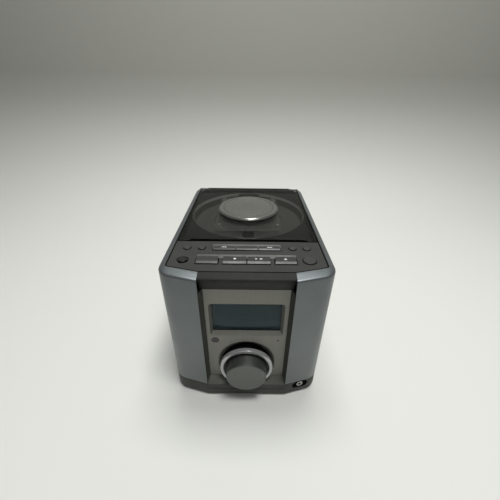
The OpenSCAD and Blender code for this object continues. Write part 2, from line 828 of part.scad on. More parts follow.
module volume_encoder() {
    half = 6.5;
    y_bush = y_collar - collar_t - bush_proud;
    color("#777777") difference() {
        union() {
            box([-half, y_collar, z_knob - half], [half, y_board, z_knob + half]);
            rod_y(0, z_knob, y_bush, y_collar + 1, bush_r);
        }
        rod_y(0, z_knob, y_bush - 1, y_collar + shaft_deep + clear, knob_shaft_r + fit);
    }
}

module remote_sensor() {
    color("#1d1a1c") rod_y(sensor_x, z_sensor, y_face + clear, y_board, sensor_r);
}

module standby_lamp() {
    color("#7a1512") {
        rod_y(lamp_x, z_sensor, y_face + clear / 2, y_wall + 1, lamp_r);
        rod_y(lamp_x, z_sensor, y_wall, y_board, lamp_body_r);
    }
}

module front_board() {
    x = boss_x + boss_in;
    color("#2f5d3a") box([-x, y_board, z_front_low], [x, y_board + board_t, z_front_high]);
}

module cd_lid() {
    y_notch = y_hinge - barrel_r - lid_notch;
    y_finger = y_hook - top_gap;
    front = [[-lid_x, y_lid_front], [-finger_half - finger_run, y_lid_front], [-finger_half, y_finger]];
    right = [[finger_half, y_finger], [finger_half + finger_run, y_lid_front], [lid_x, y_lid_front],
        [lid_x, y_notch], [barrel_half, y_notch], [barrel_half, y_hinge]];
    left = [[-barrel_half, y_hinge], [-barrel_half, y_notch], [-lid_x, y_notch]];
    rib_w = 1.5;
    rib_in = 2;
    rib_h = deck_gap - clear;
    root = 0.5;
    color("#2b2b29", 0.8) {
        prism(concat(front, right, left), lid_under, z_top);
        rod_x_at(y_hinge, z_hinge, -barrel_half, barrel_half, barrel_r);
        rod_x_at(y_hinge, z_hinge, -barrel_half - ear_w, barrel_half + ear_w, trunnion_r);
        for (side = [-1, 1]) let (x = side * (lid_x - rib_in))
            box([x - rib_w / 2, y_hook + rib_in, lid_under - rib_h],
                [x + rib_w / 2, y_notch - rib_in, lid_under + root]);
        box([-hook_half, y_hook, z_deck - hook_drop], [hook_half, y_hook + hook_t, lid_under + root]);
    }
}

module lid_medallion() {
    edge = 1.6;
    groove = 0.6;
    groove_r = medal_r - 6;
    z_high = z_top + medal_h;
    section = [[0, z_top], [medal_r, z_top], [medal_r, z_high - edge], [medal_r - edge, z_high],
        [groove_r + groove / 2, z_high], [groove_r, z_high - groove], [groove_r - groove / 2, z_high],
        [0, z_high]];
    color("#b9bab6") turned_disc(section);
}

module clamper_bracket() {
    post_r = 3;
    plate_r = 5;
    post_in = [4, 5];
    spots = [for (x = [-1, 1]) for (y = [-1, 1])
        [x * (clamp_x - post_in[0]), y_disc + y * (clamp_y - post_in[1])]];
    color("#3d3d3c") difference() {
        union() {
            prism(round_slab(-clamp_x, y_disc - clamp_y, clamp_x, y_disc + clamp_y, plate_r),
                z_clamp, z_clamp + clamp_t);
            for (spot = spots) translate([spot[0], spot[1], z_clamp])
                cylinder(h = clamp_t + clamp_drop, r = post_r);
        }
        translate([0, y_disc, z_clamp - 1]) cylinder(h = clamp_t + 2, r = neck_r + clear);
    }
}

module clamper_puck() {
    flange_r = neck_r + 2.5;
    recess_r = boss_r + 1.2;
    z_cap = z_clamp + clamp_t + clear;
    cap_t = 1;
    section = [[0, puck_low + boss_h - disc_t + 0.6], [recess_r, puck_low + boss_h - disc_t + 0.6],
        [recess_r, puck_low], [puck_r, puck_low], [puck_r, puck_low + 2], [neck_r, z_clamp - clear],
        [neck_r, z_cap], [flange_r, z_cap], [flange_r, z_cap + cap_t], [0, z_cap + cap_t]];
    color("#d8d8d4") turned_disc(section);
}

module disc_well() {
    deck_x = rim_x - clear;
    y_deck_front = y_panel_back - 3.5;
    y_deck_back = y_hinge - barrel_r - clear;
    slot_half = lens_holder_r + 1;
    y_slot = y_lens - sled_travel - lens_holder_r - 0.5;
    slot_clear = 0.8;
    color("#1f1f1f") {
        difference() {
            union() {
                box([-deck_x, y_deck_front, z_deck - deck_t], [deck_x, y_deck_back, z_deck]);
                well_drum(well_r + well_wall, well_r + well_wall, z_under, z_deck, well_wall, deck_x);
                for (side = [-1, 1]) hinge_ear(side);
                box([-finger_half, y_deck_front, z_deck - 1], [finger_half, y_panel_back - 1, z_panel]);
            }
            well_drum(well_foot_r, well_r, z_well + small_step, z_deck, 0, deck_x - well_wall);
            translate([0, y_disc, z_well]) cylinder(h = well_deep, r = small_disc_r);
            translate([0, y_disc, z_under - 1]) cylinder(h = well_t + 2, r = hub_r + 2);
            box([-slot_half, y_slot, z_under - 1], [slot_half, y_disc, z_well + small_step + 1]);
            box([-hook_half - slot_clear, y_hook - slot_clear - 1, z_deck - deck_t - 1],
                [hook_half + slot_clear, y_hook + 3 + slot_clear, z_deck + 1]);
            for (side = [-1, 1]) rod_x_at(y_hinge, z_hinge, side * (rim_x - 3) - 4, side * (rim_x - 3) + 4,
                trunnion_r + fit);
        }
    }
}

// Conical drum on the disc's axis, cut flat at the front, the rear and the half width x; d thickens the flats
module well_drum(r_low, r_high, z0, z1, d, x) {
    over = d > 0 ? 0 : 1;
    slope = (r_high - r_low) / (z1 - z0);
    intersection() {
        turned_disc([[0, z0], [r_low, z0], [r_high + slope * over, z1 + over], [0, z1 + over]]);
        box([-x, y_well_front - d, z0 - 1], [x, y_well_back + d, z1 + 2]);
    }
}

// Ear on the deck that carries one lid trunnion
module hinge_ear(side) {
    x_in = barrel_half + clear;
    x_out = rim_x - clear;
    x0 = side > 0 ? x_in : -x_out;
    x1 = side > 0 ? x_out : -x_in;
    rod_x_at(y_hinge, z_hinge, x0, x1, barrel_r);
    box([x0, y_hinge - barrel_r - 2, z_deck - deck_t], [x1, y_hinge + 1, z_deck]);
}

module turntable_hub() {
    lip = 2;
    chamfer = 1;
    z_end = z_chassis - chassis_t - 7;
    section = [[0, z_end], [motor_shaft_r, z_end], [motor_shaft_r, z_rest - lip], [hub_r, z_rest - lip],
        [hub_r, z_rest], [boss_r, z_rest], [boss_r, z_rest + boss_h - chamfer - 0.6],
        [boss_r - chamfer, z_rest + boss_h - 0.6], [0, z_rest + boss_h - 0.6]];
    color("#1a1a1a") turned_disc(section);
}

// Small motor under the chassis, with its bush through it
module drive_motor(x, y, r) {
    case_h = 11;
    motor_bush_r = 3;
    z_high = z_chassis - chassis_t;
    translate([x, y, 0]) difference() {
        union() {
            translate([0, 0, z_high - case_h]) cylinder(h = case_h, r = r);
            translate([0, 0, z_high - 1]) cylinder(h = chassis_t + 1.6, r = motor_bush_r);
        }
        translate([0, 0, z_high - 7 - clear]) cylinder(h = case_h + 10, r = motor_shaft_r + fit);
    }
}

module spindle_motor() {
    color("#a9a9a9") drive_motor(0, y_disc, 11);
}

module sled_motor() {
    color("#a9a9a9") drive_motor(gear_x, y_gear, 8);
}

module mech_chassis() {
    z_low = z_chassis - chassis_t;
    lug_half = 2.3;
    bush_hole_r = 3 + slip;
    outline = round_slab(-34, y_lug_front - 2, gear_x + gear_r + 3, y_disc + 31, 3);
    color("#9a9c9c") difference() {
        union() {
            prism(outline, z_low, z_chassis);
            for (x = [-rod_x, rod_x]) for (y = [y_lug_front, y_lug_back])
                box([x - lug_half, y, z_chassis - 0.5], [x + lug_half, y + lug_t, z_rod + rod_r + 0.8]);
        }
        for (spot = [[0, y_disc], [gear_x, y_gear]]) translate([spot[0], spot[1], z_low - 1])
            cylinder(h = chassis_t + 2, r = bush_hole_r);
        for (x = [-rod_x, rod_x]) rod_y(x, z_rod, y_lug_front - 1, y_lug_back + lug_t + 1, rod_r + 0.02);
    }
}

module mech_dampers() {
    color("#222222") for (spot = damper_spots) translate([spot[0], y_disc + spot[1], z_chassis])
        cylinder(h = damper_h, r = damper_r);
}

module guide_rods() {
    color("#c4c6c8") for (x = [-rod_x, rod_x]) rod_y(x, z_rod, y_lug_front, y_lug_back + lug_t, rod_r);
}

module pickup_sled() {
    z_holder = z_well + 0.6;
    rack_low = z_chassis + 1.4;
    rack_h = 2.4;
    rack_foot = rack_x - 1.1;
    tip = 0.75;
    tooth = [0.22, 0.5, 0.86];
    root = 0.2;
    rack_from = y_lens - sled_half;
    rack_n = ceil((sled_travel + 5) / gear_pitch);
    color("#4b4b4d") {
        difference() {
            union() {
                box([-sled_x, y_lens - sled_half, sled_low], [sled_x, y_lens + sled_half, sled_top]);
                translate([0, y_lens, sled_low]) cylinder(h = z_holder - sled_low, r = lens_holder_r);
                box([sled_x - root, rack_from, rack_low],
                    [rack_foot, y_gear + rack_n * gear_pitch, rack_low + rack_h]);
                for (k = [-1 : rack_n - 1]) translate([0, y_gear + (k + 0.5) * gear_pitch, 0])
                    prism([[rack_foot - root, -tooth[2]], [rack_foot, -tooth[2]], [rack_x + tip, -tooth[0]],
                        [rack_x + tip, tooth[0]], [rack_foot, tooth[2]], [rack_foot - root, tooth[2]]],
                        rack_low, rack_low + rack_h);
            }
            for (x = [-rod_x, rod_x])
                rod_y(x, z_rod, y_lens - sled_half - 1, y_lens + sled_half + 1, rod_r + fit);
        }
    }
    color("#6f86b8") translate([0, y_lens, z_holder]) cylinder(h = 1, r = lens_r);
}

module drive_gear() {
    root = gear_r - 1;
    tip = gear_r + 0.75;
    step = 360 / gear_teeth;
    z_low = z_chassis + 1.2;
    z_end = z_chassis - chassis_t - 7;
    flank = [[root, -0.31], [tip, -0.11], [tip, 0.11], [root, 0.31]];
    outline = [for (i = [0 : gear_teeth - 1]) for (p = flank)
        point_at(p[0], 180 + (i + p[1]) * step)];
    color("#e6e1d2") translate([gear_x, y_gear, 0]) {
        translate([0, 0, z_low]) linear_extrude(2.8) polygon(outline);
        translate([0, 0, z_end]) cylinder(h = z_low - z_end + 1, r = motor_shaft_r);
    }
}

module main_board() {
    color("#2f5d3a") box([-board_x, y_board_front, z_board], [board_x, y_board_back, z_board + board_t]);
}

// Laminated core with its winding, on a plate that stands on the base's floor
module transformer() {
    plate_t = 1.5;
    core_w = 50;
    core_d = 22;
    core_h = 42;
    coil_over = 9;
    coil_in = 7;
    x = -26;
    y = y_corner + 58;
    z = z_floor + plate_t;
    color("#6b6862") {
        box([x - core_w / 2 - 8, y - core_d / 2 - 2, z_floor], [x + core_w / 2 + 8, y + core_d / 2 + 2, z]);
        box([x - core_w / 2, y - core_d / 2, z], [x + core_w / 2, y + core_d / 2, z + core_h]);
        prism(round_slab(x - core_w / 2 + coil_in, y - core_d / 2 - coil_over, x + core_w / 2 - coil_in,
            y + core_d / 2 + coil_over, 4), z + coil_in, z + core_h - coil_in);
    }
}

module heat_sink() {
    w = 52;
    fin_n = 9;
    fin_t = 1.6;
    web_t = 3;
    fin_d = 14;
    h = 50;
    x = 8 - board_x;
    y = y_board_back - 22;
    z = z_board + board_t;
    color("#303234") {
        box([x, y, z], [x + w, y + web_t, z + h]);
        for (i = [0 : fin_n - 1]) let (at = x + i * (w - fin_t) / (fin_n - 1))
            box([at, y, z], [at + fin_t, y + web_t + fin_d, z + h]);
    }
}

module tuner_module() {
    size = [28, 44, 17];
    low = [board_x - size[0] - 2, y_board_back - size[1] - 4, z_board + board_t];
    color("#b4b6b6") box(low, low + size);
}

function lever_x(i) = terminal_x + (i - 1.5) * lever_pitch;
module speaker_terminals() {
    y0 = y_rear_in - terminal_deep;
    y1 = y_rear + terminal_proud;
    lip = 2;
    z = z_seam + terminal_up;
    wire_r = 1.6;
    wire_down = 8;
    lever_room = 5.4;
    color("#1b1b1b") difference() {
        union() {
            box([terminal_x - terminal_w / 2, y0, z - terminal_h / 2],
                [terminal_x + terminal_w / 2, y1, z + terminal_h / 2]);
            box([terminal_x - terminal_w / 2 - lip, y0, z - terminal_h / 2 - lip],
                [terminal_x + terminal_w / 2 + lip, y_rear_in, z + terminal_h / 2 + lip]);
        }
        for (i = [0 : len(LEVERS) - 1]) {
            box([lever_x(i) - lever_w / 2 - clear, y_rear - 5, z - lever_room],
                [lever_x(i) + lever_w / 2 + clear, y1 + 1, z + terminal_h / 2 - 1.2]);
            rod_y(lever_x(i), z - wire_down, y_rear - 6, y1 + 1, wire_r);
        }
        rod_x_at(y_rear + terminal_proud - lever_in, z + lever_up, terminal_x - terminal_w / 2 + 0.6,
            terminal_x + terminal_w / 2 - 0.6, lever_pin_r + fit);
    }
}

// Spring lever of one speaker terminal: pivot bar at the top and a finger tab below
module speaker_lever(i) {
    y = y_rear + terminal_proud - lever_in;
    z = z_seam + terminal_up + lever_up;
    half = lever_w / 2;
    tab = 3.4;
    pin_out = 0.8;
    section = [[y - 1.6, z + 1.6], [y - 1.6, z - 8.4], [y + lever_in + tab - 1, z - 8.4],
        [y + lever_in + tab, z - 7.4], [y + lever_in + tab, z - 6.6], [y + 1.8, z - 4.6], [y + 1.8, z + 1.6]];
    color(i % 2 == 0 ? "#9c1d1a" : "#1c1c1c") {
        bar(section, lever_x(i) - half, lever_x(i) + half);
        rod_x_at(y, z, lever_x(i) - half - pin_out, lever_x(i) + half + pin_out, lever_pin_r);
    }
}

// Coaxial socket: barrel and flange inside the rear panel, shoulder in its hole, and the shell for a plug
module coax_socket(x, up, r, flange, bore_r) {
    z = z_seam + up;
    difference() {
        union() {
            rod_y(x, z, y_rear_in - jack_inside, y_tip, r);
            rod_y(x, z, y_rear_in - jack_flange_t, y_rear_in, r + flange);
            rod_y(x, z, y_rear_in - 1, y_rear, r + shoulder);
        }
        rod_y(x, z, y_tip - jack_bore_deep, y_tip + 1, bore_r);
    }
}

module audio_jacks() {
    color("#b9b9b4") for (up = audio_up) coax_socket(audio_x, up, audio_r, 2, 1.7);
}

module antenna_socket() {
    color("#b9b9b4") coax_socket(antenna_x, antenna_up, antenna_r, 2.5, 1.2);
}

// Two-pin mains inlet: a shell with a rounded cavity and its contact pins
module mains_inlet() {
    z = z_seam + inlet_up;
    proud = 1;
    flange = 2;
    pin_r = 1.2;
    pin_half = 4.3;
    half = [inlet_w / 2 + inlet_shell, inlet_h / 2 + inlet_shell];
    y0 = y_rear - inlet_deep - 2;
    mouth_r = inlet_h / 2 - 0.2;
    mouth = round_slab(inlet_x - inlet_w / 2, z - inlet_h / 2,
        inlet_x + inlet_w / 2, z + inlet_h / 2, mouth_r);
    color("#161616") {
        difference() {
            union() {
                box([inlet_x - half[0], y0, z - half[1]], [inlet_x + half[0], y_rear + proud, z + half[1]]);
                box([inlet_x - half[0] - flange, y_rear_in - 2, z - half[1] - flange],
                    [inlet_x + half[0] + flange, y_rear_in, z + half[1] + flange]);
            }
            translate([0, y_rear + proud + 1, 0]) rotate([90, 0, 0])
                linear_extrude(inlet_deep + proud + 1) polygon(mouth);
        }
        for (x = [-1, 1]) rod_y(inlet_x + x * pin_half, z, y_rear - inlet_deep - 1, y_rear - 2, pin_r);
    }
}

// Pan-head screws that hold the rear panel
module case_screws() {
    head_r = 2.6;
    head_h = 1.4;
    z_low = z_seam + 8;
    z_high = z_rim - 5.5;
    spots = [for (x = [-1, 1]) for (z = [z_low, (z_low + z_high) / 2, z_high]) [x * (rear_half - 5), z]];
    color("#2a2a2a") for (spot = spots) rod_y(spot[0], spot[1], y_rear, y_rear + head_h, head_r);
}

base_tray();
rubber_feet();
left_side_panel();
right_side_panel();
rear_panel();
control_panel();
front_bezel();
faceplate();
display_window();
display_module();
knob_collar();
knob_ring();
volume_knob();
volume_encoder();
remote_sensor();
standby_lamp();
headphone_jack();
cd_lid();
lid_medallion();
clamper_bracket();
clamper_puck();
disc_well();
turntable_hub();
spindle_motor();
mech_chassis();
mech_dampers();
guide_rods();
pickup_sled();
drive_gear();
sled_motor();
key_board();
front_board();
main_board();
transformer();
heat_sink();
tuner_module();
speaker_terminals();
audio_jacks();
antenna_socket();
mains_inlet();
case_screws();
for (name = KEYS) panel_key(name);
for (i = [0 : len(LEVERS) - 1]) speaker_lever(i);
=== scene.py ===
"""Looks of the mini hifi main unit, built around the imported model. Lengths are in metres."""

import json
import math

import bmesh
import bpy
from mathutils import Matrix, Vector


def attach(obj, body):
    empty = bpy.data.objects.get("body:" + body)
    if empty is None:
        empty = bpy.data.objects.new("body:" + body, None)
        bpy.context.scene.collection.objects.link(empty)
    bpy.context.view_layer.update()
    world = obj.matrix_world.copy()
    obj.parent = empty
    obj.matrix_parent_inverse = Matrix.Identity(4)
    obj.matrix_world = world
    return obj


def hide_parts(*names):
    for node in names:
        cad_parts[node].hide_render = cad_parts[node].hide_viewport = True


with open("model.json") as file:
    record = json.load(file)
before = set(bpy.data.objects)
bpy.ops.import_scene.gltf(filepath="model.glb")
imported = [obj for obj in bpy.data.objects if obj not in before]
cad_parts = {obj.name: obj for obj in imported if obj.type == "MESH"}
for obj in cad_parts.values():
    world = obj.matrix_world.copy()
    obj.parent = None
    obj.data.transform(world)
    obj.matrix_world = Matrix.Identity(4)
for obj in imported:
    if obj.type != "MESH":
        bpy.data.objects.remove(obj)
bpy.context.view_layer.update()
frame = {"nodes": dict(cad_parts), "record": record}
NODES = frame["nodes"]
RECORD = frame["record"]
scene = bpy.context.scene


# Places on the model, in millimetres

KNOB_Z = 39.8
DISC_Y = 31.1
KEY_TOP = 150.3
KEY_ROW_Y = {"rear": -59.6, "front": -78.9}
REAR_FACE = 108.5
SCREW_X = 52.0
SCREW_Z = (25.5, 82.0, 138.5)
SOCKET_TIP = 115.5
SOCKETS = {"lower": (22.0, 39.5), "upper": (22.0, 57.5), "antenna": (42.0, 79.5)}
BRACKET_TOP = 145.0
BRACKET_SCREW = (32.0, 34.0)
REST_TOP = 137.0
LENS_AT = (0.0, 8.1, 135.6)
MODULE_FACE = -96.1
MOUTH_LOW = 74.0
BEZEL_SILL, BEZEL_BROW = 22.3, 134.2


# Points on the axes that pieces turn about, in metres

MM = 0.001
KNOB_AXIS = (0.0, 0.0, KNOB_Z * MM)
DISC_AXIS = (0.0, DISC_Y * MM, 0.0)


# Materials, with the scales of their noise per metre and the depths of their bumps in metres

CLOUDS = 38.0
WEAR = 90.0
WIPES = 70.0
TINT_CLOUDS = 25.0
STRAIGHT_GRAIN = 900.0
TOOL_MARKS = 3400.0
PAINT_FLAKES = 5200.0
RAMP_LOW, RAMP_HIGH = 0.3, 0.7
MOULD_GRAIN_STRENGTH = 0.35
STEP_BLUR = 0.04


def linear(value):
    """sRGB level from 0 to 255 as a linear share."""
    v = value / 255
    return v / 12.92 if v <= 0.04045 else ((v + 0.055) / 1.055) ** 2.4


def shade(r, g, b, k=1.0):
    return tuple(min(1.0, linear(c) * k) for c in (r, g, b)) + (1.0,)


class Maker:
    """Node tree of one material, with the Principled shader's sockets at hand."""

    def __init__(self, name, **sockets):
        self.material = bpy.data.materials.new(name)
        self.material.use_nodes = True
        self.tree = self.material.node_tree
        self.shader = self.tree.nodes["Principled BSDF"]
        for key, value in sockets.items():
            self.shader.inputs[key.replace("_", " ")].default_value = value

    def node(self, kind, **values):
        made = self.tree.nodes.new(kind)
        for key, value in values.items():
            if hasattr(made, key):
                setattr(made, key, value)
            else:
                made.inputs[key.replace("_", " ")].default_value = value
        return made

    def link(self, out, into):
        self.tree.links.new(out, into)

    def math(self, operation, *values):
        made = self.node("ShaderNodeMath", operation=operation)
        for k, value in enumerate(values):
            if isinstance(value, float):
                made.inputs[k].default_value = value
            else:
                self.link(value, made.inputs[k])
        return made.outputs[0]

    def parts(self, output):
        """X, Y and Z of an output of the texture coordinates, in the object's own frame."""
        coords = self.node("ShaderNodeTexCoord")
        split = self.node("ShaderNodeSeparateXYZ")
        self.link(coords.outputs[output], split.inputs["Vector"])
        return split.outputs

    def place(self, stretch=(1, 1, 1)):
        """Object coordinates, stretched."""
        coords = self.node("ShaderNodeTexCoord")
        mapping = self.node("ShaderNodeMapping")
        mapping.inputs["Scale"].default_value = stretch
        self.link(coords.outputs["Object"], mapping.inputs["Vector"])
        return mapping.outputs["Vector"]

    def radius(self, axis, centre):
        """Distance from a line along an axis of the model."""
        parts = self.parts("Object")
        squares = []
        for label, middle in zip("XYZ", centre):
            if label != axis:
                away = self.math("SUBTRACT", parts[label], middle)
                squares.append(self.math("MULTIPLY", away, away))
        return self.math("SQRT", self.math("ADD", *squares))

    def noise(self, scale, detail=3.0, vector=None, roughness=0.5):
        made = self.node("ShaderNodeTexNoise", Scale=scale, Detail=detail, Roughness=roughness)
        self.link(vector or self.place(), made.inputs["Vector"])
        return made.outputs["Fac"]

    def spread(self, value, low, high, start=RAMP_LOW, end=RAMP_HIGH):
        """Value stretched from one span to another, and held at its ends."""
        made = self.node("ShaderNodeMapRange")
        made.inputs["From Min"].default_value = start
        made.inputs["From Max"].default_value = end
        made.inputs["To Min"].default_value = low
        made.inputs["To Max"].default_value = high
        self.link(value, made.inputs["Value"])
        return made.outputs["Result"]

    def tint(self, value, dark, light):
        """Base colour that runs between two colours."""
        ramp = self.node("ShaderNodeValToRGB")
        ramp.color_ramp.elements[0].position = RAMP_LOW
        ramp.color_ramp.elements[1].position = RAMP_HIGH
        ramp.color_ramp.elements[0].color = dark
        ramp.color_ramp.elements[1].color = light
        self.link(value, ramp.inputs["Fac"])
        self.link(ramp.outputs["Color"], self.shader.inputs["Base Color"])

    def vary(self, value, colour, share):
        """Base colour a little darker and lighter than one colour."""
        self.tint(value, shade(*colour, 1 - share), shade(*colour, 1 + share))

    def grain(self, stretch):
        """Straight grain along the axis that the stretch leaves short."""
        return self.noise(STRAIGHT_GRAIN, 4.0, self.place(stretch), 0.7)

    def rough(self, value, low, high):
        self.link(self.spread(value, low, high), self.shader.inputs["Roughness"])

    def worn(self, low, high):
        """Gloss with faint handling marks."""
        self.rough(self.noise(WEAR, 6.0, roughness=0.65), low, high)

    def wiped(self, low, high):
        """Gloss with faint wipe marks."""
        self.rough(self.noise(WIPES, 6.0, self.place((1, 3, 1)), 0.7), low, high)

    def bump(self, value, strength, depth):
        made = self.node("ShaderNodeBump", Strength=strength, Distance=depth)
        self.link(value, made.inputs["Height"])
        self.link(made.outputs["Normal"], self.shader.inputs["Normal"])


def moulded(name, colour, low, high, grain=2600.0, depth=0.00004, vary=0.12, gloss=0.5):
    """Moulded plastic: fine spark-eroded grain, faint cloudiness and handling marks."""
    m = Maker(name, Specular_IOR_Level=gloss)
    m.vary(m.noise(CLOUDS, 5.0), colour, vary)
    m.worn(low, high)
    m.bump(m.noise(grain, 2.0), MOULD_GRAIN_STRENGTH, depth)
    return m.material


def metallic_paint(name, colour, metal, low, high):
    """Silver paint: fine flakes in the colour, a satin lacquer over them."""
    m = Maker(name, Metallic=metal, Coat_Weight=0.12, Coat_Roughness=0.25)
    flakes = m.node("ShaderNodeTexVoronoi", Scale=PAINT_FLAKES)
    m.link(m.place(), flakes.inputs["Vector"])
    m.tint(flakes.outputs["Distance"], shade(*colour, 1.1), shade(*colour, 0.88))
    m.rough(m.noise(60.0, 6.0, roughness=0.6), low, high)
    m.bump(m.noise(420.0, 2.0), 0.06, 0.00005)
    return m.material


def brushed(name, colour, stretch, low, high, metal=0.9):
    """Metal with a straight grain along the axis that the stretch leaves short."""
    m = Maker(name, Metallic=metal)
    grain = m.grain(stretch)
    m.vary(grain, colour, 0.14)
    m.rough(grain, low, high)
    m.bump(grain, 0.25, 0.00003)
    return m.material


def turned(name, colour, axis, centre, low, high, metal):
    """Turned metal: fine circular tool marks round an axis of the model."""
    m = Maker(name, Metallic=metal)
    line = m.node("ShaderNodeCombineXYZ")
    m.link(m.radius(axis, centre), line.inputs["X"])
    m.link(m.parts("Object")[axis], line.inputs["Y"])
    marks = m.noise(TOOL_MARKS, 3.0, line.outputs["Vector"], 0.6)
    m.vary(marks, colour, 0.05)
    m.rough(marks, low, high)
    m.bump(marks, 0.06, 0.00002)
    return m.material


def polished(name, colour, rough, metal=1.0):
    """Plated metal with a trace of haze."""
    m = Maker(name, Metallic=metal)
    m.tint(m.noise(30.0, 4.0), shade(*colour, 0.96), shade(*colour, 1.0))
    m.rough(m.noise(120.0, 6.0), rough * 0.7, rough * 1.4)
    m.bump(m.noise(240.0, 2.0), 0.02, 0.00003)
    return m.material


def film(name, colour, cover, axis, low, high, gloss):
    """Tinted sheet: its broad faces, square to an axis, let light through. Its cut edges don't."""
    m = Maker(name, Specular_IOR_Level=gloss)
    m.vary(m.noise(TINT_CLOUDS, 3.0), colour, 0.1)
    m.wiped(low, high)
    facing = m.math("ABSOLUTE", m.parts("Normal")[axis])
    m.link(m.spread(facing, 1.0, cover, 0.5, 0.8), m.shader.inputs["Alpha"])
    return m.material


def clear(name, colour, rough, ior):
    """Solid clear moulding with faint wipe marks in its gloss."""
    m = Maker(name, Transmission_Weight=1.0, IOR=ior)
    m.vary(m.noise(TINT_CLOUDS, 3.0), colour, 0.05)
    m.wiped(rough * 0.6, rough * 1.6)
    return m.material


def satin_face(name, colour, painted_slant_shade):
    """Satin silver with a fine upright grain; the slanted sides of its display mouth get painted
    shade, a darker colour that stands in for the shade on them.
    """
    m = Maker(name, Metallic=0.35)
    grain = m.grain((1, 1, 0.03))
    turn = m.parts("Normal")
    flat, slanted = 0.3, 0.5
    sideways = m.spread(m.math("ABSOLUTE", turn["X"]), 0.0, 0.2, flat, slanted)
    downwards = m.spread(turn["Z"], 0.2, 0.0, -slanted, -flat)
    height = m.parts("Object")["Z"]
    over_dish = m.spread(height, 0.0, 2.0, MOUTH_LOW * MM, (MOUTH_LOW + 0.1) * MM)
    # painted shade: the mouth's slants above the dish run towards the darker colour
    painted_shade = m.math("MULTIPLY", m.math("ADD", sideways, downwards), over_dish)
    m.tint(m.math("SUBTRACT", m.spread(grain, 0.6, 0.7), painted_shade), shade(*painted_slant_shade), shade(*colour))
    m.rough(grain, 0.36, 0.5)
    m.bump(grain, 0.25, 0.00003)
    return m.material


def by_height(name, below, above, levels, low, high, gloss):
    """Moulded plastic whose colour steps from one to another at levels in millimetres."""
    m = Maker(name, Specular_IOR_Level=gloss)
    height = m.parts("Object")["Z"]
    rise = (RAMP_HIGH - RAMP_LOW) / len(levels)
    value = RAMP_LOW
    for level in levels:
        step = m.spread(height, 0.0, rise, (level - STEP_BLUR) * MM, (level + STEP_BLUR) * MM)
        value = m.math("ADD", step, value)
    m.tint(value, shade(*below), shade(*above))
    m.worn(low, high)
    m.bump(m.noise(3000.0, 2.0), MOULD_GRAIN_STRENGTH, 0.00004)
    return m.material


def painted_key(name, colour, level):
    """Key moulded in black, with its top painted; the black skirt also stands in for the shade in
    the gap in front of the key.
    """
    return by_height(name, (9, 9, 9), colour, [level], 0.3, 0.42, 0.4)


def disc_zones(name, zones, low, high):
    """Plastic in zones round the disc's axis: inner radius in millimetres and colour of each."""
    m = Maker(name)
    ramp = m.node("ShaderNodeValToRGB")
    ramp.color_ramp.interpolation = "CONSTANT"
    reach = 100.0
    stops = ramp.color_ramp.elements
    stops.remove(stops[1])
    stops[0].color = shade(*zones[0][1])
    for radius, colour in zones[1:]:
        stops.new(radius / reach).color = shade(*colour)
    m.link(m.math("DIVIDE", m.radius("Z", DISC_AXIS), reach * MM), ramp.inputs["Fac"])
    m.link(ramp.outputs["Color"], m.shader.inputs["Base Color"])
    m.worn(low, high)
    m.bump(m.noise(1800.0, 2.0), 0.3, 0.00002)
    return m.material


SLOTS = {
    "silver_paint": metallic_paint("silver_paint", (111, 116, 117), 0.7, 0.36, 0.48),
    "grey_plastic": moulded("grey_plastic", (54, 54, 52), 0.32, 0.44, gloss=0.3),
    "dark_plastic": moulded("dark_plastic", (64, 64, 60), 0.42, 0.56, gloss=0.3),
    "black_plastic": moulded("black_plastic", (24, 24, 24), 0.36, 0.5, gloss=0.4),
    "display_glass": film("display_glass", (20, 26, 28), 0.15, "Y", 0.06, 0.14, 0.25),
    "display_back": moulded("display_back", (84, 106, 112), 0.35, 0.45, vary=0.04, grain=300.0),
    "chrome": polished("chrome", (186, 188, 188), 0.06, 0.62),
    "knob_metal": turned("knob_metal", (108, 110, 107), "Y", KNOB_AXIS, 0.42, 0.52, 0.9),
    "zinc": brushed("zinc", (175, 177, 178), (1, 0.2, 1), 0.35, 0.5),
    "steel": brushed("steel", (190, 192, 194), (1, 0.05, 1), 0.2, 0.32),
    "nickel": polished("nickel", (190, 187, 180), 0.2),
    "sensor_lens": moulded("sensor_lens", (44, 38, 40), 0.12, 0.2, depth=0.000005),
    "lamp_lens": moulded("lamp_lens", (38, 16, 15), 0.1, 0.2, depth=0.000005),
    "smoked_lid": film("smoked_lid", (16, 16, 14), 0.4, "Z", 0.04, 0.07, 0.5),
    "medallion": turned("medallion", (134, 135, 130), "Z", DISC_AXIS, 0.2, 0.32, 0.75),
    "white_plastic": moulded("white_plastic", (214, 212, 203), 0.4, 0.55, vary=0.04),
    "rubber": moulded("rubber", (24, 24, 24), 0.7, 0.85, grain=1500.0, depth=0.0001),
    "circuit_board": moulded("circuit_board", (36, 92, 52), 0.3, 0.45),
    "transformer_steel": brushed("transformer_steel", (118, 112, 102), (1, 1, 0.05), 0.45, 0.6,
                                 0.6),
    "black_aluminium": brushed("black_aluminium", (44, 45, 48), (1, 1, 0.05), 0.4, 0.55),
    "black_steel": polished("black_steel", (46, 46, 48), 0.36, 0.8),
    "red_plastic": moulded("red_plastic", (150, 22, 20), 0.3, 0.42, vary=0.06),
}
BAR_KEYS = {"source_key", "stop_key", "play_key", "eject_key", "skip_back_key", "band_key",
            "skip_on_key"}
ROUND_KEYS = {"standby_key", "bass_key", "program_key", "repeat_key", "clock_key", "tone_key"}
KEYS = BAR_KEYS | ROUND_KEYS
BEVEL_DROP, ROUND_DROP = 0.9, 0.3
# zones of the disc well; the light band from 64.4 to 65.6 mm is a painted highlight on the edge of
# the well
WELL_ZONES_WITH_HIGHLIGHT = [(0.0, (126, 125, 119)), (62.3, (92, 91, 86)), (64.4, (200, 199, 191)),
              (65.6, (40, 40, 38))]
